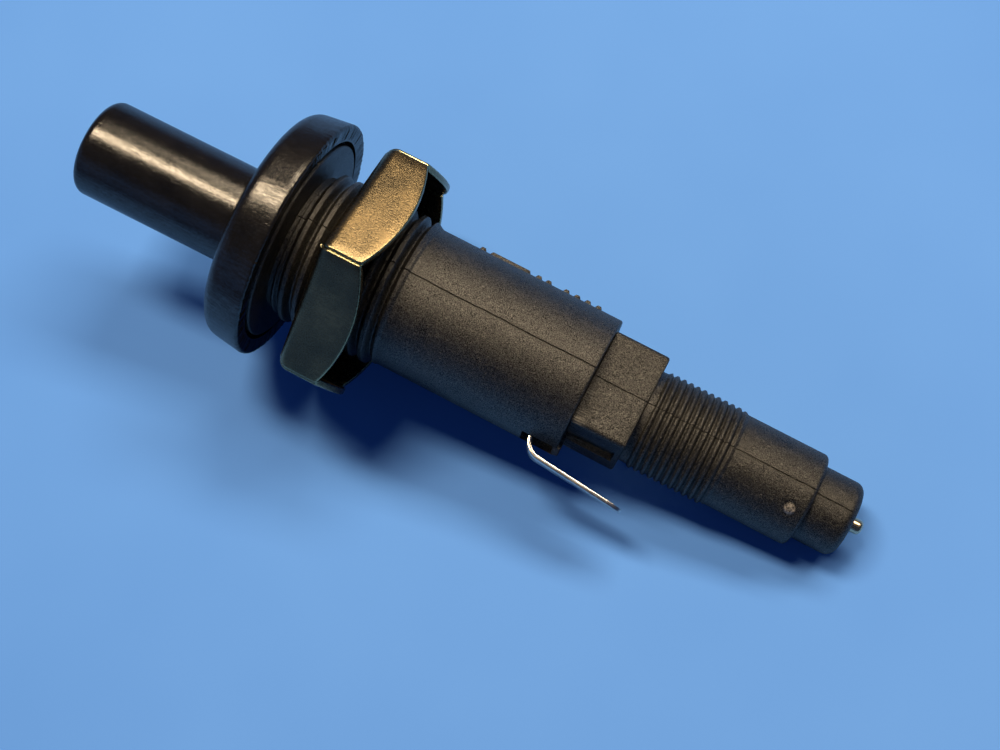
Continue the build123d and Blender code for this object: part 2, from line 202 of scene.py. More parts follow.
def arc(centre, radius, from_angle, to_angle, count=8):
    """Points (x, r) on an arc in the profile plane."""
    turn = np.radians(np.linspace(from_angle, to_angle, count))
    return [(centre[0] + radius * math.cos(t), centre[1] + radius * math.sin(t)) for t in turn]


def line(start, end, spacing=1.0):
    """Points from start to end in the profile plane, without the end."""
    length = math.dist(start, end)
    count = max(1, int(round(length / spacing)))
    return [
        (start[0] + (end[0] - start[0]) * k / count, start[1] + (end[1] - start[1]) * k / count)
        for k in range(count)
    ]


def lathe(name, profile, angles, body, shape=None, closed=True, window=None):
    """A turned piece from a profile of (x, radius). shape(x, radius, angle) may change the radius.

    A closed profile makes a ring; an open one starts and ends on the axis. A window is
    (first row, last row, first column, last column) of the grid, cut through the wall.
    """
    profile = np.array(profile, float)
    x = np.repeat(profile[:, 0:1], len(angles), 1)
    r = np.repeat(profile[:, 1:2], len(angles), 1)
    phi = np.repeat(angles[None, :], len(profile), 0)
    if shape is not None:
        x, r = shape(x, r, phi)
    turn = np.radians(phi)
    grid = np.stack([x, r * np.cos(turn), r * np.sin(turn)], -1)
    rows, columns = x.shape
    vertices = grid.reshape(-1, 3)
    index = np.arange(rows * columns).reshape(rows, columns)
    faces = []
    last = rows if closed else rows - 1
    for i in range(last):
        here, there = index[i], index[(i + 1) % rows]
        side_here, side_there = np.roll(here, -1), np.roll(there, -1)
        strip = np.stack([here, side_here, side_there, there], 1).tolist()
        if window and window[0] <= i < window[1]:
            strip = strip[: window[2]] + strip[window[3] :]
        faces += strip
    if window:
        top, bottom, left, right = window
        for column in (left, right):
            faces.append(index[top : bottom + 1, column].tolist())
        for j in range(left, right):
            corners = (index[top, j], index[top, j + 1], index[bottom, j + 1], index[bottom, j])
            faces.append([int(corner) for corner in corners])
    if not closed:
        ends = []
        for i in (0, rows - 1):
            ends.append(len(vertices))
            vertices = np.vstack([vertices, [[profile[i, 0], 0, 0]]])
            faces += [[int(a), int(b), ends[-1]] for a, b in zip(index[i], np.roll(index[i], -1))]
    obj = new_object(name, vertices, faces, body)
    sharpen(obj)
    return obj


def swept(name, rings, body, angle=32):
    """A solid skinned over a row of equal closed rings, with flat ends."""
    rings = np.array(rings, float)
    count, around_count = rings.shape[:2]
    index = np.arange(count * around_count).reshape(count, around_count)
    faces = [index[0].tolist(), index[-1].tolist()]
    for here, there in zip(index[:-1], index[1:]):
        faces += np.stack([here, np.roll(here, -1), np.roll(there, -1), there], 1).tolist()
    obj = new_object(name, rings.reshape(-1, 3), faces, body)
    sharpen(obj, angle)
    return obj


def ridge_height(u, crest_share, base_share):
    """A trapezoid thread profile with slightly soft corners: 1 on the crest at u = 0, 0 at the root."""
    away = np.abs((u + 0.5) % 1.0 - 0.5) * 2
    t = np.clip((base_share - away) / (base_share - crest_share), 0, 1)
    return 0.5 * t + 0.5 * t * t * (3 - 2 * t)


def seam_distance(x, r, phi, side):
    """Distance in millimetres round the surface from the mould parting line on one side."""
    wander = 0.03 * np.sin(x * 0.7 + side) + 0.02 * np.sin(x * 3.1 + 2 * side) + 0.014 * np.sin(x * 8.7)
    return np.radians((phi - side + 180) % 360 - 180) * r - wander


def with_seam(x, r, phi, depth=0.11, width=0.045):
    """Cuts the thin parting groove at the top and bottom of the moulding."""
    for side in (90, 270):
        away = seam_distance(x, r, phi, side) / width
        r = r - depth * np.exp(-away * away)
    return r


# ---------------------------------------------------------------- materials

def rgb(r, g, b):
    """A linear colour with full opacity."""
    return (r, g, b, 1.0)


class Shader:
    """A small helper for building node materials."""

    def __init__(self, name):
        self.material = bpy.data.materials.new(name)
        self.material.use_nodes = True
        self.tree = self.material.node_tree
        self.bsdf = self.tree.nodes["Principled BSDF"]

    def node(self, kind, **settings):
        """Adds a node. A setting named in_... is an input, any other is an attribute."""
        made = self.tree.nodes.new(kind)
        for key, value in settings.items():
            if key.startswith("in_"):
                made.inputs[key[3:].replace("_", " ")].default_value = value
            else:
                setattr(made, key, value)
        return made

    def link(self, source, target):
        self.tree.links.new(source, target)

    def place(self, scale=(1, 1, 1)):
        """The piece's own coordinates, in millimetres, stretched by scale."""
        coordinates = self.node("ShaderNodeTexCoord")
        mapping = self.node("ShaderNodeMapping")
        mapping.inputs["Scale"].default_value = [s / MM for s in scale]
        self.link(coordinates.outputs["Object"], mapping.inputs["Vector"])
        return mapping.outputs["Vector"]

    def round_axis(self, scale=(1, 1, 1)):
        """Coordinates (x, radius, angle) about the X axis, in millimetres and radians."""
        split = self.node("ShaderNodeSeparateXYZ")
        self.link(self.place(), split.inputs["Vector"])
        y, z = split.outputs["Y"], split.outputs["Z"]
        squared = self.math("ADD", self.math("MULTIPLY", y, y), self.math("MULTIPLY", z, z))
        radius = self.math("SQRT", squared)
        angle = self.math("ARCTAN2", z, y)
        joined = self.node("ShaderNodeCombineXYZ")
        self.link(self.math("MULTIPLY", split.outputs["X"], scale[0]), joined.inputs["X"])
        self.link(self.math("MULTIPLY", radius, scale[1]), joined.inputs["Y"])
        self.link(self.math("MULTIPLY", angle, scale[2]), joined.inputs["Z"])
        return joined.outputs["Vector"]

    def math(self, operation, a, b=None, clamp=False):
        """A math node on numbers or sockets."""
        made = self.node("ShaderNodeMath", operation=operation, use_clamp=clamp)
        for slot_number, value in enumerate((a, b)):
            if value is None:
                continue
            if isinstance(value, (int, float)):
                made.inputs[slot_number].default_value = value
            else:
                self.link(value, made.inputs[slot_number])
        return made.outputs[0]

    def noise(self, vector, scale, detail=4, roughness=0.6):
        made = self.node("ShaderNodeTexNoise")
        made.inputs["Scale"].default_value = scale
        made.inputs["Detail"].default_value = detail
        made.inputs["Roughness"].default_value = roughness
        self.link(vector, made.inputs["Vector"])
        return made.outputs["Fac"]

    def ramp(self, value, low, high, out_low=0.0, out_high=1.0):
        """Maps low..high to out_low..out_high and holds the ends."""
        made = self.node("ShaderNodeMapRange", clamp=True)
        made.inputs["From Min"].default_value = low
        made.inputs["From Max"].default_value = high
        made.inputs["To Min"].default_value = out_low
        made.inputs["To Max"].default_value = out_high
        self.link(value, made.inputs["Value"])
        return made.outputs["Result"]

    def mix(self, factor, a, b):
        """Blends colour a into colour b."""
        made = self.node("ShaderNodeMix", data_type="RGBA")
        factor_slot, colour_a_slot, colour_b_slot, colour_output = 0, 6, 7, 2
        for value, target in ((factor, factor_slot), (a, colour_a_slot), (b, colour_b_slot)):
            if isinstance(value, (int, float, tuple)):
                made.inputs[target].default_value = value
            else:
                self.link(value, made.inputs[target])
        return made.outputs[colour_output]

    def edge_wear_and_highlight(self, width=0.35, strength=1.0):
        """1 on convex edges and 0 on flat ground, from the difference of a rounded normal; used for worn
        edges and for painted edge highlights.
        """
        bevel = self.node("ShaderNodeBevel", samples=4)
        bevel.inputs["Radius"].default_value = width * MM
        geometry = self.node("ShaderNodeNewGeometry")
        dot = self.node("ShaderNodeVectorMath", operation="DOT_PRODUCT")
        self.link(bevel.outputs["Normal"], dot.inputs[0])
        self.link(geometry.outputs["Normal"], dot.inputs[1])
        away = self.math("SUBTRACT", 1.0, dot.outputs["Value"])
        return self.math("MULTIPLY", away, 6.0 * strength, clamp=True)

    def facing(self, least):
        """1 where the surface faces the viewer, falling to a least value where it turns away."""
        weight = self.node("ShaderNodeLayerWeight")
        weight.inputs["Blend"].default_value = 0.5
        return self.ramp(weight.outputs["Facing"], 0.35, 0.85, 1.0, least)

    def bump(self, height, strength, distance, normal=None):
        made = self.node("ShaderNodeBump")
        made.inputs["Strength"].default_value = strength
        made.inputs["Distance"].default_value = distance * MM
        self.link(height, made.inputs["Height"])
        if normal is not None:
            self.link(normal, made.inputs["Normal"])
        return made.outputs["Normal"]

    def set(self, **values):
        """Sets inputs of the surface shader to numbers, colours or sockets."""
        for key, value in values.items():
            target = self.bsdf.inputs[key.replace("_", " ")]
            if isinstance(value, (int, float, tuple)):
                target.default_value = value
            else:
                self.link(value, target)


def specks(s, here, density, size):
    """A few small round specks: 1 inside a speck."""
    cells = s.node("ShaderNodeTexVoronoi")
    cells.inputs["Scale"].default_value = density
    s.link(here, cells.inputs["Vector"])
    pick = s.node("ShaderNodeSeparateColor")
    s.link(cells.outputs["Color"], pick.inputs["Color"])
    inside = s.ramp(cells.outputs["Distance"], size * 0.6, size, 1.0, 0.0)
    return s.math("MULTIPLY", inside, s.ramp(pick.outputs["Red"], 0.80, 0.81))


def near_point(s, here, point, radius):
    """1 near a point given in millimetres, falling to 0 at the radius."""
    gap = s.node("ShaderNodeVectorMath", operation="DISTANCE")
    gap.inputs[1].default_value = point
    s.link(here, gap.inputs[0])
    return s.ramp(gap.outputs["Value"], radius * 0.7, radius, 1.0, 0.0)


def matte_black(name, scraped=False):
    """Spark-eroded black moulding: fine grain with glints painted into its colour, dull sheen, pale dust
    and rubbed edges.
    """
    s = Shader(name)
    here = s.place()
    grain = s.noise(here, 10.0, detail=2, roughness=0.7)
    sparkle = s.noise(here, 3.0, detail=1, roughness=0.5)
    cloud = s.noise(here, 0.35, detail=5)
    dust = specks(s, here, 1.1, 0.085)
    wear = s.math("MULTIPLY", s.edge_wear_and_highlight(0.16), s.ramp(s.noise(here, 2.2), 0.40, 0.65), clamp=True)
    base = s.mix(s.ramp(cloud, 0.3, 0.7), rgb(0.003, 0.003, 0.003), rgb(0.006, 0.0058, 0.0055))
    # Painted glints: lighter specks in the base colour, where the fine grain and the sparkle noise peak,
    # stand in for specular glints.
    painted_glint = s.math("MULTIPLY", s.ramp(grain, 0.50, 0.62), s.ramp(sparkle, 0.40, 0.60, 0.25, 1.0))
    base = s.mix(painted_glint, base, rgb(0.058, 0.055, 0.046))
    base = s.mix(s.math("MULTIPLY", wear, 0.55), base, rgb(0.11, 0.105, 0.09))
    base = s.mix(s.math("MULTIPLY", dust, 0.60), base, rgb(0.25, 0.24, 0.23))
    rough = s.math("ADD", s.ramp(cloud, 0.3, 0.7, 0.28, 0.34), s.ramp(grain, 0.3, 0.7, -0.06, 0.06))
    normal = s.bump(grain, 1.0, 0.06)
    if scraped:
        gate = near_point(s, here, GATE_MARK, 0.62)
        torn = s.noise(here, 5.0, detail=2)
        base = s.mix(s.math("MULTIPLY", gate, s.ramp(torn, 0.38, 0.58)), base, rgb(0.22, 0.20, 0.18))
        split = s.node("ShaderNodeSeparateXYZ")
        s.link(here, split.inputs["Vector"])
        uneven = s.noise(s.place((0.1, 1.6, 1.6)), 1.0)
        ragged = s.ramp(uneven, 0.3, 0.7, SQUARE_START + 0.2, SQUARE_START + 3.2)
        zone = s.ramp(s.math("SUBTRACT", ragged, split.outputs["X"]), 0.0, 1.6)
        zone = s.math("MULTIPLY", zone, s.ramp(split.outputs["Y"], -2.0, -0.8, 1.0, 0.0))
        streaks = s.noise(s.place((0.5, 7.0, 7.0)), 1.0, detail=2)
        normal = s.bump(s.math("MULTIPLY", streaks, zone), 1.0, 0.14, normal)
        base = s.mix(s.math("MULTIPLY", zone, s.ramp(streaks, 0.50, 0.60)), base, rgb(0.11, 0.105, 0.09))
    shine = s.ramp(grain, 0.38, 0.62, 0.14, 0.72 if scraped else 0.95)
    s.set(Base_Color=base, Roughness=rough, Normal=normal)
    s.set(Specular_IOR_Level=s.math("MULTIPLY", shine, s.facing(0.12)))
    return s.material


def gloss_black(name, streak_scale, low, high, streak_strength):
    """Polished black moulding with fine streaks, dust and hairline scratches."""
    s = Shader(name)
    here = s.place()
    streaks = s.noise(s.round_axis(streak_scale), 1.0, detail=5, roughness=0.75)
    scratch = s.noise(s.place((0.25, 3.0, 3.0)), 1.4, detail=6, roughness=0.8)
    mottle = s.noise(here, 4.0, detail=4, roughness=0.8)
    cloud = s.noise(here, 0.3, detail=4)
    dust = specks(s, here, 0.8, 0.07)
    wear = s.math("MULTIPLY", s.edge_wear_and_highlight(0.3), s.ramp(s.noise(here, 2.0), 0.4, 0.7), clamp=True)
    base = s.mix(s.ramp(cloud, 0.3, 0.7), rgb(0.0045, 0.0042, 0.0040), rgb(0.008, 0.0072, 0.0065))
    base = s.mix(s.math("MULTIPLY", wear, 0.25), base, rgb(0.05, 0.047, 0.044))
    base = s.mix(s.math("MULTIPLY", dust, 0.4), base, rgb(0.20, 0.19, 0.18))
    rough = s.math("ADD", s.ramp(cloud, 0.3, 0.7, low, high), s.ramp(mottle, 0.45, 0.75, 0.0, 0.09))
    cross = s.noise(s.round_axis((0.7, 1.0, 55.0)), 1.0, detail=3, roughness=0.7)
    normal = s.bump(streaks, streak_strength, 0.022)
    normal = s.bump(cross, streak_strength, 0.015, normal)
    normal = s.bump(mottle, 0.4, 0.02, normal)
    normal = s.bump(s.ramp(scratch, 0.62, 0.66), 0.3, 0.01, normal)
    broken = s.math("MULTIPLY", s.ramp(cross, 0.35, 0.6, 0.5, 1.0), s.ramp(mottle, 0.35, 0.6, 0.4, 0.9))
    s.set(Base_Color=base, Roughness=rough, Normal=normal)
    s.set(Specular_IOR_Level=s.math("MULTIPLY", broken, s.facing(0.12)))
    return s.material


def plated(name, light, dark, roughness, grain_scale, grain_strength, grain_depth=0.012):
    """Plated metal with a satin grain, cloudy tone and a highlight painted on its edges."""
    s = Shader(name)
    here = s.place()
    grain = s.noise(s.place(grain_scale), 1.0, detail=3, roughness=0.7)
    cloud = s.noise(here, 0.22, detail=3)
    edge = s.edge_wear_and_highlight(0.3)
    base = s.mix(s.ramp(cloud, 0.3, 0.7), dark, light)
    # Painted highlight: the convex edges are mixed towards a far lighter colour, standing in for glints on
    # the rounded sheet edges.
    painted_edge_highlight = tuple(min(4.5 * channel, 0.95) for channel in light[:3]) + (1.0,)
    base = s.mix(edge, base, painted_edge_highlight)
    stroke_scale = (grain_scale[0] * 0.25, grain_scale[1], grain_scale[2])
    strokes = s.noise(s.place(stroke_scale), 1.0, detail=3, roughness=0.8)
    base = s.mix(s.ramp(strokes, 0.35, 0.65, 0.0, 0.7), base, dark)
    cloudy = s.ramp(cloud, 0.3, 0.7, roughness - 0.02, roughness + 0.03)
    rough = s.math("ADD", cloudy, s.ramp(grain, 0.3, 0.7, -0.05, 0.05))
    rough = s.math("SUBTRACT", rough, s.math("MULTIPLY", edge, 0.10), clamp=True)
    normal = s.bump(grain, grain_strength, grain_depth)
    s.set(Base_Color=base, Metallic=1.0, Roughness=rough, Normal=normal)
    return s.material


def plain_moulding(name, light, dark, roughness, grain=0.2, subsurface=0.0):
    """A pale moulded or fired piece: cloudy colour, faint grain, slightly dull edges."""
    s = Shader(name)
    here = s.place()
    cloud = s.noise(here, 0.4, detail=5)
    fine = s.noise(here, 8.0, detail=3)
    base = s.mix(s.ramp(cloud, 0.3, 0.7), dark, light)
    base = s.mix(s.math("MULTIPLY", s.edge_wear_and_highlight(0.2), 0.25), base, dark)
    rough = s.ramp(fine, 0.3, 0.7, roughness - 0.05, roughness + 0.08)
    s.set(Base_Color=base, Roughness=rough, Normal=s.bump(fine, grain, 0.02))
    s.set(Subsurface_Weight=subsurface)
    return s.material


MATERIALS = {
    "matte_black": matte_black("matte_black_moulding"),
    "gloss_black": gloss_black("gloss_black_button", (2.4, 3.0, 14.0), 0.13, 0.20, 0.6),
    "nickel_plate": plated(
        "nickel_plated_sheet",
        rgb(0.33, 0.240, 0.120),
        rgb(0.14, 0.112, 0.068),
        0.27,
        (6.0, 6.0, 6.0),
        1.0,
        0.022,
    ),
    "tin_plate": plated(
        "tin_plated_strip", rgb(0.80, 0.78, 0.72), rgb(0.62, 0.60, 0.56), 0.24, (1.0, 6.0, 6.0), 0.4
    ),
    "pin_metal": plated(
        "drawn_brass", rgb(0.74, 0.62, 0.40), rgb(0.52, 0.42, 0.27), 0.25, (0.8, 8.0, 8.0), 0.3
    ),
    "spring_steel": plated(
        "spring_wire", rgb(0.56, 0.56, 0.57), rgb(0.36, 0.36, 0.37), 0.30, (4.0, 4.0, 4.0), 0.3
    ),
    "turned_steel": plated(
        "turned_steel", rgb(0.60, 0.60, 0.60), rgb(0.42, 0.42, 0.42), 0.28, (9.0, 1.2, 1.2), 0.4
    ),
    "natural_acetal": plain_moulding(
        "natural_acetal", rgb(0.82, 0.80, 0.74), rgb(0.70, 0.68, 0.61), 0.42, subsurface=0.1
    ),
    "insulating_tube": plain_moulding(
        "insulating_tube", rgb(0.78, 0.76, 0.72), rgb(0.66, 0.64, 0.60), 0.35
    ),
    "piezo_ceramic": plain_moulding(
        "piezo_ceramic", rgb(0.68, 0.60, 0.46), rgb(0.56, 0.48, 0.36), 0.55, grain=0.4
    ),
}
INSULATOR_BLACK = matte_black("insulator_black_moulding", scraped=True)
BEZEL_BLACK = gloss_black("gloss_black_bezel", (4.5, 4.5, 5.0), 0.14, 0.21, 1.0)


def dress(obj, material):
    """Gives a piece one material."""
    obj.data.materials.clear()
    obj.data.materials.append(material)


slot_of = {entry["node"]: entry["material_slot"] for entry in frame["record"]["subparts"]}
for node_name, node_object in nodes.items():
    dress(node_object, MATERIALS[slot_of[node_name]])


def stand_in_for(obj, node, material=None):
    """Makes a finished piece take the place of a CAD node, in that node's material."""
    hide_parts(node)
    dress(obj, material or MATERIALS[slot_of[node]])
    return obj


# ---------------------------------------------------------------- front housing

def housing_shape(x, r, phi):
    """Adds the panel thread and the parting groove to the turned profile."""
    outside = r > COLLAR_BORE_RADIUS + 0.05
    threaded = outside & (x > 0.05) & (x < THREAD_END + 0.9) & (r < FLANGE_RADIUS - 1)
    phase = x / THREAD_PITCH - phi / 360 + THREAD_PHASE
    height = ridge_height(phase, THREAD_CREST_SHARE, THREAD_BASE_SHARE)
    fade = np.clip((x - 0.35) / 0.6, 0, 1) * np.clip((THREAD_END + 0.3 - x) / 1.0, 0, 1)
    rise = np.clip((x - THREAD_END + 0.5) / 0.5, 0, 1)
    core = THREAD_ROOT + (BARREL_RADIUS - THREAD_ROOT) * rise
    lift = (THREAD_CREST - core) * height * fade
    r = np.where(threaded, np.maximum(r, core + lift), r)
    return x, np.where(outside, with_seam(x, r, phi), r)


def build_front_housing():
    """The front moulding: flange, panel thread and barrel, with the window for the tab."""
    wall = HOUSING_START
    profile = line((wall, BUTTON_HOLE), (wall, SOCKET_RADIUS), 2.0)
    profile += line((wall, SOCKET_RADIUS), (FLANGE_STEP, SOCKET_RADIUS), 1.0)
    profile += [(FLANGE_STEP, SOCKET_RADIUS), (FLANGE_STEP, FLANGE_RADIUS)]
    profile += arc((-0.25, FLANGE_RADIUS - 0.2), 0.2, 90, 0, 5)
    profile += [(-0.05, 9.95), (-0.06, 9.0), (-0.07, 8.2), (-0.08, THREAD_ROOT + 0.1)]
    profile += [(k, THREAD_ROOT) for k in steps(-0.02, THREAD_END, 0.06)]
    profile += [(k, BARREL_RADIUS) for k in steps(THREAD_END + 0.05, THREAD_END + 0.9, 0.06)]
    profile += [(k, BARREL_RADIUS) for k in steps(THREAD_END + 1.2, WINDOW_START - 0.3, 0.3)]
    first_row = len(profile)
    profile += [(k, BARREL_RADIUS) for k in steps(WINDOW_START, BARREL_END - 0.25, 0.3)]
    profile += [(BARREL_END - 0.14, BARREL_RADIUS - 0.02), (BARREL_END - 0.05, BARREL_RADIUS - 0.07)]
    profile += [(BARREL_END, BARREL_RADIUS - 0.16), (BARREL_END, BORE_RADIUS)]
    profile += [(k, BORE_RADIUS) for k in steps(BARREL_END - 0.5, WINDOW_START + 1, 1.0)]
    last_row = len(profile)
    profile += [(k, BORE_RADIUS) for k in steps(WINDOW_START, COLLAR_BORE[1], 2.0)]
    profile += [(COLLAR_BORE[1], COLLAR_BORE_RADIUS), (COLLAR_BORE[0], COLLAR_BORE_RADIUS)]
    profile += [(COLLAR_BORE[0], BUTTON_HOLE), (0, BUTTON_HOLE)]
    angles = around(1.25, (90, 270))
    sides = [180 - WINDOW_HALF_ANGLE, 180 + WINDOW_HALF_ANGLE]
    angles = np.array(sorted(set(angles.tolist() + sides)))
    columns = [int(np.argmin(np.abs(angles - side))) for side in sides]
    window = (first_row, last_row, columns[0], columns[1])
    shell = lathe(
        "front_housing_moulding", profile, angles, "housing", housing_shape, window=window
    )
    return stand_in_for(shell, "front_housing")


def rounded_bar(x_range, width, turn, low, high, edge):
    """Rings for a bar that lies along the axis on a cylinder, with rounded top edges."""
    start, end = x_range
    stations = (
        (start, edge * 2),
        (start + edge * 0.3, edge),
        (start + edge, 0),
        (end - edge, 0),
        (end - edge * 0.3, edge),
        (end, edge * 2),
    )
    half = width / 2
    sine, cosine = math.sin(math.radians(turn)), math.cos(math.radians(turn))
    rings = []
    for x, drop in stations:
        top = high - drop
        outline = [(-half, low), (-half, top - edge), (-half + edge * 0.3, top - edge * 0.3)]
        outline += [(-half + edge, top), (half - edge, top)]
        outline += [(half - edge * 0.3, top - edge * 0.3), (half, top - edge), (half, low)]
        rings.append([(x, v * cosine - u * sine, u * cosine + v * sine) for u, v in outline])
    return rings


def build_marks():
    """The plain raised bars on the +Y side of the barrel."""
    bars = [LONG_MARK] + [(x, x + PIP_LENGTH) for x in PIP_STATIONS]
    foot, top = BARREL_RADIUS - 0.3, BARREL_RADIUS + MARK_HEIGHT
    for number, x_range in enumerate(sorted(bars)):
        rings = rounded_bar(x_range, MARK_WIDTH, MARK_ANGLE, foot, top, 0.22)
        bar = swept(f"raised_mark_{number + 1}", rings, "housing")
        dress(bar, MATERIALS["matte_black"])


build_front_housing()
build_marks()


# ---------------------------------------------------------------- rear insulator

def square_radius(phi, side, corner):
    """Distance from the axis to a square with rounded corners, at an angle."""
    turn = np.radians((phi + 45) % 90 - 45)
    half = side / 2
    flat = half / np.cos(turn)
    centre = half - corner
    away = np.radians(45) - np.abs(turn)
    distance = centre * math.sqrt(2)
    rounded = distance * np.cos(away) + np.sqrt(np.maximum(corner**2 - (distance * np.sin(away)) ** 2, 0))
    on_corner = half * np.tan(np.abs(turn)) > centre
    return np.where(on_corner, rounded, flat)


def gate_lift(x, phi):
    """Height of the small torn gate mark on the rear cylinder."""
    along = x - GATE_MARK[0]
    round_way = np.radians(phi - GATE_ANGLE) * REAR_RADIUS
    away = np.hypot(along, round_way)
    heading = np.arctan2(round_way, along)
    reach = 0.50 + 0.07 * np.sin(3 * heading + 1) + 0.05 * np.sin(5 * heading)
    torn = 0.55 + 0.45 * np.sin(along * 23 + 1) * np.sin(round_way * 19 + 2)
    nub = 0.20 * np.clip(1 - (away / reach) ** 4, 0, 1) * torn
    return nub - 0.05 * np.exp(-((away - 0.68) / 0.10) ** 2)


def insulator_shape(x, r, phi):
    """Adds the square, the tab groove, the fine thread and the parting groove."""
    marker = r > SQUARE_MARK / 2
    inset = np.where(marker, r - SQUARE_MARK, 0)
    square = square_radius(phi, SQUARE_SIDE - 2 * inset, SQUARE_CORNER)
    from_tab = phi - 180
    across = np.abs(SQUARE_SIDE / 2 * np.tan(np.radians(from_tab)))
    on_tab_side = np.abs(from_tab) < 90
    in_groove = on_tab_side & (across < GROOVE_HALF_WIDTH) & (x < BARREL_END + GROOVE_LENGTH)
    square = np.where(in_groove, square - GROOVE_DEPTH / np.cos(np.radians(from_tab)), square)
    r = np.where(marker, square, r)
    start, end = REAR_THREAD
    phase = x / REAR_PITCH - phi / 360 + 0.02
    height = ridge_height(phase, REAR_CREST_SHARE, REAR_BASE_SHARE)
    fade = np.clip((x - start) / 0.35, 0, 1) * np.clip((end - x) / 0.7, 0, 1)
    threaded = (x > start) & (x < end) & (r > REAR_RADIUS - 0.3)
    r = np.where(threaded, r + (REAR_CREST - REAR_RADIUS) * height * fade, r)
    r = np.where((x > 53) & (x < 56) & (r > REAR_RADIUS - 0.01), r + gate_lift(x, phi), r)
    outside = (r > 3) & (x > BARREL_END)
    return x, np.where(outside, with_seam(x, r, phi, 0.09, 0.042), r)


def build_rear_insulator():
    """The rear moulding: square, fine thread, plain cylinder and nose."""
    start = BARREL_END
    profile = [(start - 0.6, 2.0), (start - 0.6, 5.9), (start - 0.02, 5.9)]
    profile += [(start + 0.01, SQUARE_MARK + 0.12), (start + 0.1, SQUARE_MARK)]
    profile += [(k, SQUARE_MARK) for k in steps(start + 0.4, SQUARE_END - 0.3, 0.3)]
    profile += [(SQUARE_END - 0.1, SQUARE_MARK + 0.04), (SQUARE_END, SQUARE_MARK + 0.2)]
    profile += [(SQUARE_END, REAR_RADIUS + 0.02), (SQUARE_END + 0.1, REAR_RADIUS)]
    profile += [(k, REAR_RADIUS) for k in steps(SQUARE_END + 0.3, REAR_THREAD[1] + 0.2, 0.04)]
    profile += [(k, REAR_RADIUS) for k in steps(REAR_THREAD[1] + 0.5, GATE_MARK[0] - 1.2, 0.4)]
    profile += [(k, REAR_RADIUS) for k in steps(GATE_MARK[0] - 1.0, REAR_END - 0.58, 0.09)]
    profile += arc((REAR_END - 0.5, REAR_RADIUS - 0.5), 0.5, 90, 8, 8)
    profile += [(REAR_END, NOSE_RADIUS + 0.04), (REAR_END + 0.05, NOSE_RADIUS)]
    profile += [(k, NOSE_RADIUS) for k in steps(REAR_END + 0.4, NOSE_END - 1.05, 0.4)]
    profile += arc((NOSE_END - 1.0, NOSE_RADIUS - 1.0), 1.0, 90, 0, 10)
    profile += [(NOSE_END, 1.6), (NOSE_END - 0.1, 1.4), (NOSE_END - 0.1, 1.15), (NOSE_END - 4, 1.15)]
    groove_edge = math.degrees(math.atan2(GROOVE_HALF_WIDTH, SQUARE_SIDE / 2))
    angles = around(1.25, (90, 270))
    extra = [side + gap for side in (180 - groove_edge, 180 + groove_edge) for gap in (-0.1, 0.1)]
    angles = np.array(sorted(set(angles.tolist() + extra)))
    body = lathe("rear_insulator_moulding", profile, angles, "housing", insulator_shape)
    return stand_in_for(body, "rear_insulator", INSULATOR_BLACK)


def build_key():
    """The insulator's small key, which closes the rear end of the tab window."""
    x_range = (BARREL_END - 0.45, BARREL_END + 0.3)
    rings = rounded_bar(x_range, TAB_WIDTH + 0.3, 180, 5.7, BARREL_RADIUS - 0.2, 0.08)
    key = swept("rear_insulator_key", rings, "housing")
    dress(key, INSULATOR_BLACK)


build_rear_insulator()
build_key()


# ---------------------------------------------------------------- bezel and button

def bezel_shape(x, r, phi):
    """Roughens the rear rim, where the cap was parted off."""
    column = np.round(phi * 4).astype(int)
    chips = np.random.default_rng(7).random(1500)[column % 1500]
    slow = 0.5 + 0.5 * np.sin(np.radians(phi) * 3 + 1) * np.sin(np.radians(phi) * 7)
    at_rim = np.clip((x - (BEZEL_REAR - 0.45)) / 0.3, 0, 1) * (r > SOCKET_RADIUS + 0.2)
    r = r - at_rim * 0.10 * chips * slow
    x = x - at_rim * 0.08 * np.random.default_rng(8).random(1500)[column % 1500]
    return x, r


def build_bezel():
    """The glossy cap, with a rounded front edge and a rough rear rim."""
    plate_rear = HOUSING_START
    front, rear = BEZEL_FRONT, BEZEL_REAR
    outer = BEZEL_RADIUS
    profile = [(front + 0.25, BUTTON_HOLE)]
    profile += arc((front + 0.25, BUTTON_HOLE + 0.25), 0.25, 270, 180, 5)
    profile += line((front, BUTTON_HOLE + 0.3), (front, outer - 2.0), 1.0)
    profile += arc((front + 1.5, outer - 1.95), 1.5, 180, 96, 12)
    profile += line((front + 1.35, outer - 0.45), (rear - 0.42, outer - 0.06), 0.5)
    profile += arc((rear - 0.34, outer - 0.40), 0.34, 96, 10, 7)
    profile += line((rear, outer - 0.42), (rear - 0.06, SOCKET_RADIUS + 0.12), 0.35)
    profile += [(rear - 0.16, SOCKET_RADIUS + 0.02)]
    profile += line((rear - 0.22, SOCKET_RADIUS + 0.01), (plate_rear, SOCKET_RADIUS + 0.01), 0.8)
    profile += [(plate_rear, SOCKET_RADIUS), (plate_rear, BUTTON_HOLE)]
    cap = lathe("bezel_cap_moulding", profile, around(0.75), "housing", bezel_shape)
    return stand_in_for(cap, "bezel_cap", BEZEL_BLACK)


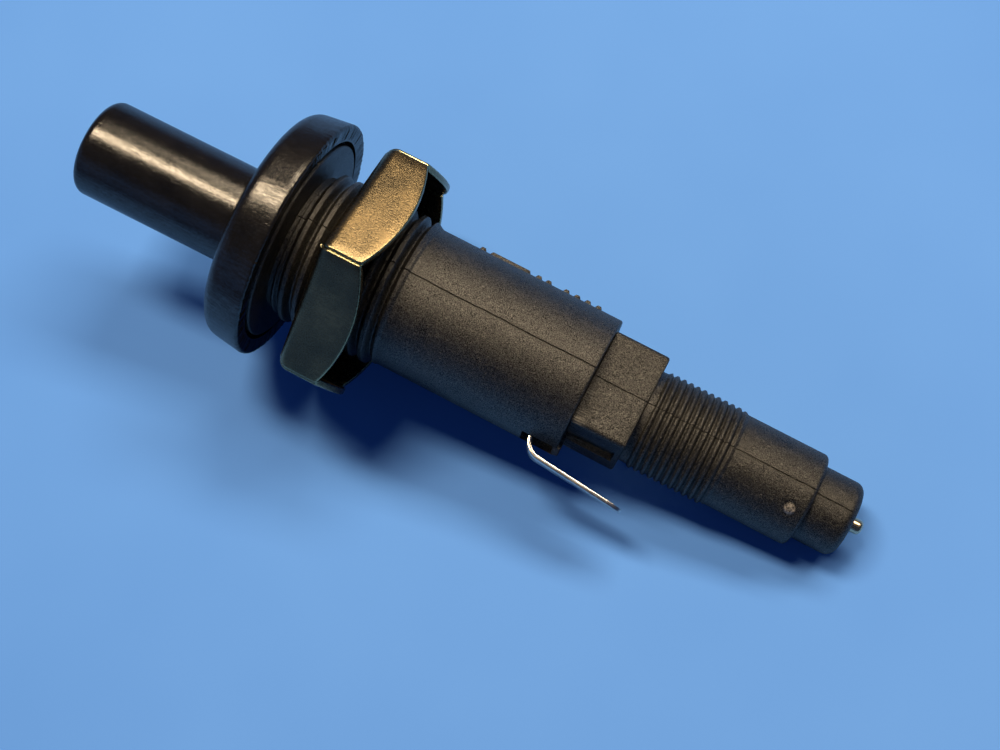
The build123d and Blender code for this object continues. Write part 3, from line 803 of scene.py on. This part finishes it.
def build_button():
    """The button. It sits a little low and tilted in its loose hole, as far as its play allows."""
    tip, end = BUTTON_TIP, BUTTON_END
    collar = end - BUTTON_COLLAR_LENGTH
    bore_end = tip + BUTTON_CROWN
    edge = 0.95
    sink = 0.12
    profile = [(tip + sink, 0.4), (tip + sink * 0.85, 1.2), (tip + sink * 0.4, 2.4)]
    profile += [(tip, BUTTON_RADIUS - edge)]
    profile += arc((tip + edge, BUTTON_RADIUS - edge), edge, 180, 90, 12)
    profile += line((tip + edge + 0.2, BUTTON_RADIUS), (collar, BUTTON_RADIUS), 0.8)
    profile += [(collar, BUTTON_RADIUS), (collar, COLLAR_RADIUS)]
    profile += [(end, COLLAR_RADIUS), (end, BUTTON_BORE_RADIUS)]
    profile += line((end - 0.5, BUTTON_BORE_RADIUS), (bore_end, BUTTON_BORE_RADIUS), 2.0)
    profile += [(bore_end, BUTTON_BORE_RADIUS), (bore_end, 0.4)]
    button = lathe("push_button_moulding", profile, around(1.5), "button", closed=False)
    lean = math.radians(BUTTON_LEAN_ANGLE)
    for vertex in button.data.vertices:
        play = BUTTON_PLAY * MM + BUTTON_TILT * (BEZEL_FRONT * MM - vertex.co.x)
        vertex.co.y += play * math.cos(lean)
        vertex.co.z += play * math.sin(lean)
    return stand_in_for(button, "push_button")


build_bezel()
build_button()


# ---------------------------------------------------------------- panel nut

def nut_rows():
    """Rows round the bend: (outer n, outer x, inner n, inner x, share of the slit open, bend angle).

    n is the distance from the axis, square to the flat.
    """
    rows = []
    slit_at, slit_grow = 0.36, 0.16
    for degrees in (0, 8, 15.8, 16.4, 17.6, 19, 21, 23.2, 30, 38, 46, 55, 64, 73, 82, 90):
        theta = math.radians(degrees)
        grow = min(max((NUT_BEND * theta - slit_at) / slit_grow, 0), 1)
        opening = math.sqrt(1 - (1 - grow) ** 2)
        centre = NUT_APOTHEM - NUT_BEND
        inner = NUT_BEND - NUT_SHEET
        rows.append((
            centre + NUT_BEND * math.sin(theta),
            NUT_FRONT + NUT_BEND - NUT_BEND * math.cos(theta),
            centre + inner * math.sin(theta),
            NUT_FRONT + NUT_BEND - inner * math.cos(theta),
            opening,
            theta,
        ))
    return rows


def nut_rear(t):
    """The rear edge of a flap, which bulges between its corners."""
    half = NUT_APOTHEM * math.tan(math.radians(30))
    bulge = (NUT_REAR - NUT_FRONT) - NUT_CORNER_LENGTH
    radius = (half * half + bulge * bulge) / (2 * bulge)
    return NUT_REAR - radius + math.sqrt(max(radius * radius - t * t, 0))


def rolled(distance, radius):
    """How far a rounded sheet edge has dropped, at a distance from the edge."""
    reach = max(radius - distance, 0)
    return radius - math.sqrt(max(radius * radius - reach * reach, 0))


def nut_columns(lip):
    """Column positions across a flap: a share of the half width, and the distance from the side edge."""
    main = [(v, None) for v in np.linspace(-1, 1, 13)]
    edge = [(None, d) for d in (lip * 0.6, lip * 0.3, lip * 0.1, 0.0)]
    return [(-1, d) for _, d in reversed(edge)] + [(v, None) for v, _ in main] + [(1, d) for _, d in edge]


def nut_surface(outer):
    """One side of a flap and of its share of the front plate, as a grid of (n, t, x)."""
    lip = 0.22 if outer else 0.10
    slope = math.tan(math.radians(30))
    columns = nut_columns(lip)
    bend_n = NUT_APOTHEM - NUT_BEND
    front = NUT_FRONT if outer else NUT_FRONT + NUT_SHEET
    face_n = NUT_APOTHEM if outer else NUT_APOTHEM - NUT_SHEET
    sink = 1 if outer else -1
    grid = []

    def across(width, column):
        """The position t of a column in a row of the given half width."""
        side, from_edge = column
        return side * (width - lip) if from_edge is None else side * (width - from_edge)

    chamfer = 0.14 if outer else 0.1
    for radius, x in ((NUT_HOLE, front + sink * chamfer), (NUT_HOLE + chamfer, front)):
        row = []
        for column in columns:
            angle = math.atan2(across(bend_n * slope, column), bend_n)
            row.append((radius * math.cos(angle), radius * math.sin(angle), x))
        grid.append(row)
    for share in (0.2, 0.45, 0.7, 0.9):
        row = []
        for column, (n0, t0, x0) in zip(columns, grid[1]):
            t1 = across(bend_n * slope, column)
            row.append((n0 + (bend_n - n0) * share, t0 + (t1 - t0) * share, front))
        grid.append(row)
    for n_out, x_out, n_in, x_in, opening, theta in nut_rows():
        n, x = (n_out, x_out) if outer else (n_in, x_in)
        width = n * slope - opening * NUT_SLIT_HALF_WIDTH
        row = []
        for column in columns:
            drop = opening * rolled(column[1], lip) if column[1] is not None else 0
            t = across(width, column)
            row.append((n - sink * drop * math.sin(theta), t, x + sink * drop * math.cos(theta)))
        grid.append(row)
    width = face_n * slope - NUT_SLIT_HALF_WIDTH
    start = NUT_FRONT + NUT_BEND
    stations = [(share, None) for share in (0.2, 0.4, 0.6, 0.8, 1.0)]
    stations += [(None, lip * 0.6), (None, lip * 0.3), (None, lip * 0.1), (None, 0.0)]
    for share, from_edge in stations:
        row = []
        for column in columns:
            t = across(width, column)
            rear = nut_rear(t)
            x = start + (rear - lip - start) * share if from_edge is None else rear - from_edge
            drop = rolled(column[1], lip) if column[1] is not None else 0
            if from_edge is not None:
                drop = min(drop + rolled(from_edge, lip), lip)
            row.append((face_n - sink * drop, t, x))
        grid.append(row)
    return np.array(grid)


def build_nut():
    """A hexagon nut folded from sheet: a drilled plate and six flaps with hairpin slits between them."""
    outer, inner = nut_surface(True), nut_surface(False)
    rows, columns = outer.shape[:2]
    hole_rows, plate_rows, unslit_bend_rows = 2, 4, 3
    closed_rows = hole_rows + plate_rows + unslit_bend_rows
    vertices, faces = [], []
    for k in range(6):
        angle = math.radians(NUT_TURN + 60 * k)
        base = len(vertices)
        for grid in (outer, inner):
            n, t, x = grid[..., 0].ravel(), grid[..., 1].ravel(), grid[..., 2].ravel()
            y = n * math.cos(angle) - t * math.sin(angle)
            z = n * math.sin(angle) + t * math.cos(angle)
            vertices += np.stack([x, y, z], 1).tolist()
        top = base + np.arange(rows * columns).reshape(rows, columns)
        under = top + rows * columns
        for i in range(rows - 1):
            for j in range(columns - 1):
                faces.append([top[i, j], top[i, j + 1], top[i + 1, j + 1], top[i + 1, j]])
                faces.append([under[i, j], under[i + 1, j], under[i + 1, j + 1], under[i, j + 1]])
            if i >= closed_rows - 1:
                for j in (0, columns - 1):
                    faces.append([top[i, j], top[i + 1, j], under[i + 1, j], under[i, j]])
        for i in (0, rows - 1):
            for j in range(columns - 1):
                faces.append([top[i, j], top[i, j + 1], under[i, j + 1], under[i, j]])
    faces = [[int(v) for v in face] for face in faces]
    nut = new_object("panel_nut_folded", vertices, faces, "nut")
    work = bmesh.new()
    work.from_mesh(nut.data)
    bmesh.ops.remove_doubles(work, verts=work.verts, dist=0.002 * MM)
    bmesh.ops.recalc_face_normals(work, faces=work.faces)
    work.to_mesh(nut.data)
    work.free()
    sharpen(nut, 36)
    return stand_in_for(nut, "panel_nut")


build_nut()


# ---------------------------------------------------------------- earth tab

def build_tab():
    """The earth tab: a flat strip that leaves the barrel, bends rearwards and twists a little."""
    low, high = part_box("earth_tab")
    tip_x, tip_y = high.x / MM, low.y / MM
    half_thick, half_wide = TAB_HALF_SHEET, TAB_WIDTH / 2
    root_x = TAB_X + 0.2
    bend_y, bend_radius = TAB_BEND_Y, TAB_BEND_RADIUS
    slope = math.atan2(tip_y + half_thick - bend_y, tip_x - root_x)
    turn = math.pi / 2 + slope
    tangent = bend_radius * math.tan(turn / 2)
    path = [(root_x, y) for y in (-4.5, -5.5, -6.3, bend_y + tangent)]
    centre = (root_x + bend_radius, bend_y + tangent)
    for angle in np.linspace(0, turn, 9)[1:]:
        path.append((centre[0] - bend_radius * math.cos(angle), centre[1] - bend_radius * math.sin(angle)))
    last = path[-1]
    length = (tip_x - last[0]) / math.cos(slope)
    for along in (1.5, 3.5, 5.5, length - 0.9, length - 0.45, length):
        path.append((last[0] + along * math.cos(slope), last[1] + along * math.sin(slope)))
    path = np.array(path)
    tangents = np.gradient(path, axis=0)
    tangents /= np.linalg.norm(tangents, axis=1)[:, None]
    rings = []
    for number, (point, forward) in enumerate(zip(path, tangents)):
        past_bend = max(number - 4, 0) / (len(path) - 5)
        twist = math.radians(TAB_TWIST * past_bend)
        wide = half_wide - max(0.0, 0.62 - (length - math.dist(point, last))) * (number > len(path) - 4)
        normal = np.array([forward[1], -forward[0], 0.0])
        level = np.array([0.0, 0.0, 1.0])
        out = normal * math.cos(twist) + level * math.sin(twist)
        side = level * math.cos(twist) - normal * math.sin(twist)
        ring = []
        soft = 0.06
        corners = ((1, 1), (-1, 1), (-1, -1), (1, -1))
        for a, b in corners:
            steps_in = ((0, soft), (0.3 * soft, 0.3 * soft), (soft, 0))
            for in_wide, in_thick in steps_in if a * b > 0 else reversed(steps_in):
                u = a * (wide - in_wide)
                v = b * (half_thick - in_thick)
                ring.append(np.array([point[0], point[1], 0.0]) + side * u + out * v)
        rings.append(ring)
    tab = swept("earth_tab_strip", rings, "housing", 40)
    ring_profile = [(TAB_X + 0.02, 2.35), (TAB_X + 0.02, 5.0), (TAB_X + 0.38, 5.0), (TAB_X + 0.38, 2.35)]
    contact = lathe("earth_contact_ring", ring_profile, around(6), "housing")
    dress(contact, MATERIALS["tin_plate"])
    return stand_in_for(tab, "earth_tab")


build_tab()


# ---------------------------------------------------------------- springs

def build_spring(name, body, start, end, mean_radius, wire, turns):
    """A compression spring with closed end coils, about the X axis."""
    per_turn, sides = 28, 10
    angle = np.linspace(0, 2 * math.pi * turns, int(per_turn * turns) + 1)
    turned = angle / (2 * math.pi)
    open_part = np.clip(np.minimum(turned, turns - turned) - 0.8, 0, 0.4) / 0.4
    pitch = wire * 1.02
    free = (end - start - wire) - pitch * turns
    opened = np.concatenate([[0], np.cumsum((open_part[1:] + open_part[:-1]) / 2 * np.diff(turned))])
    x = start + wire / 2 + pitch * turned + opened / opened[-1] * free
    rings = []
    for station, theta in zip(x, angle):
        ring = []
        for share in range(sides):
            around_wire = 2 * math.pi * share / sides
            radius = mean_radius + wire / 2 * math.cos(around_wire)
            along = wire / 2 * math.sin(around_wire)
            ring.append((station + along, radius * math.cos(theta), radius * math.sin(theta)))
        rings.append(ring)
    spring = swept(name + "_coil", rings, body, 60)
    return stand_in_for(spring, name)


def build_springs():
    """The four springs. The three that a joint presses each get a mesh of their own."""
    springs = (
        ("impact_spring", 2.9, 0.8, 15, "button_press", BUTTON_TRAVEL),
        ("return_spring", 5.35, 0.7, 6, "button_press", BUTTON_TRAVEL),
        ("hammer_return_spring", 2.95, 0.4, 4.5, "hammer_strike", HAMMER_TRAVEL),
        ("contact_spring", 1.4, 0.45, 3, None, 0),
    )
    for name, mean_radius, wire, turns, joint, travel in springs:
        front, rear = span(name)
        spring = build_spring(name, "housing", front, rear, mean_radius, wire, turns)
        if joint:
            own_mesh(spring)


build_springs()


# ---------------------------------------------------------------- camera, light and floor

def look_matrix(place, right, up):
    """A world matrix from a place and the right and up directions."""
    back = right.cross(up)
    return Matrix((
        (right.x, up.x, back.x, place.x),
        (right.y, up.y, back.y, place.y),
        (right.z, up.z, back.z, place.z),
        (0, 0, 0, 1),
    ))


def add_camera():
    """The viewing angle: from above, over the rear end, with the axis running down to the right."""
    place = Vector((36.46, -41.38, 143.49)) * MM
    forward = Vector((-0.08373, 0.25791, -0.96253)).normalized()
    right = Vector((0.88535, 0.46255, 0.04692))
    right = (right - forward * right.dot(forward)).normalized()
    data = bpy.data.cameras.new("camera")
    data.lens = 54
    data.sensor_width = 36
    data.clip_start = 0.005
    camera = bpy.data.objects.new("camera", data)
    bpy.context.scene.collection.objects.link(camera)
    camera.matrix_world = look_matrix(place, right, right.cross(forward))
    bpy.context.scene.camera = camera


def add_floor():
    """A plain pale floor that the nut's lowest corner and the rear cylinder rest on."""
    nut_corner_z = -NUT_APOTHEM / math.cos(math.radians(30)) * math.cos(math.radians(NUT_TURN))
    nut_corner_x = NUT_FRONT + NUT_CORNER_LENGTH
    tilt = math.atan2(-REAR_RADIUS - nut_corner_z, REAR_END - 0.5 - nut_corner_x)
    mesh = bpy.data.meshes.new("floor")
    size = 2.0
    corners = [(-size, -size, 0), (size, -size, 0), (size, size, 0), (-size, size, 0)]
    mesh.from_pydata(corners, [], [(0, 1, 2, 3)])
    floor = bpy.data.objects.new("floor", mesh)
    bpy.context.scene.collection.objects.link(floor)
    floor.rotation_euler = Euler((0, -tilt, 0))
    floor.location = (nut_corner_x * MM, 0, (nut_corner_z - 0.02) * MM)
    s = Shader("pale_floor")
    here = s.place()
    cloud = s.noise(here, 0.02, detail=3)
    base = s.mix(s.ramp(cloud, 0.3, 0.7), rgb(0.095, 0.285, 0.80), rgb(0.108, 0.31, 0.84))
    s.set(Base_Color=base, Roughness=0.7, Normal=s.bump(s.noise(here, 1.5), 0.05, 0.05))
    s.set(Specular_IOR_Level=0.2)
    mesh.materials.append(s.material)


def add_window_light(name, place, along, length, height, power, colour):
    """A soft rectangular light that faces the object, with its long side in a given direction."""
    place = Vector(place) * MM
    back = (place - Vector((10, 0, 0)) * MM).normalized()
    along = Vector(along)
    along = (along - back * along.dot(back)).normalized()
    data = bpy.data.lights.new(name, "AREA")
    data.shape = "RECTANGLE"
    data.size = length
    data.size_y = height
    data.energy = power
    data.color = colour
    light = bpy.data.objects.new(name, data)
    bpy.context.scene.collection.objects.link(light)
    light.matrix_world = look_matrix(place, along, back.cross(along))


def add_world():
    """A dim blue surround, a little brighter near the floor."""
    world = bpy.data.worlds.new("studio")
    bpy.context.scene.world = world
    world.use_nodes = True
    tree = world.node_tree
    background = tree.nodes["Background"]
    background.inputs["Strength"].default_value = 1.0
    direction = tree.nodes.new("ShaderNodeTexCoord")
    split = tree.nodes.new("ShaderNodeSeparateXYZ")
    tree.links.new(direction.outputs["Generated"], split.inputs["Vector"])
    fade = tree.nodes.new("ShaderNodeValToRGB")
    fade.color_ramp.elements[0].color = (0.020, 0.050, 0.13, 1)
    fade.color_ramp.elements[1].color = (0.020, 0.033, 0.070, 1)
    fade.color_ramp.elements[1].position = 0.5
    tree.links.new(split.outputs["Z"], fade.inputs["Fac"])
    tree.links.new(fade.outputs["Color"], background.inputs["Color"])
    bpy.context.scene.view_settings.view_transform = "Standard"


add_camera()
add_floor()
add_window_light("front_window", (-270, 90, 590), (1, 0, 0), 0.28, 0.12, 4.2, (1.0, 0.78, 0.52))
add_window_light("rear_window", (20, 327, 503), (1, 0, 0), 0.40, 0.12, 3.2, (1.0, 0.80, 0.55))
add_window_light("low_card", (-260, -420, 130), (1, 0, 0), 0.90, 0.25, 0.18, (0.20, 0.45, 1.0))
add_world()
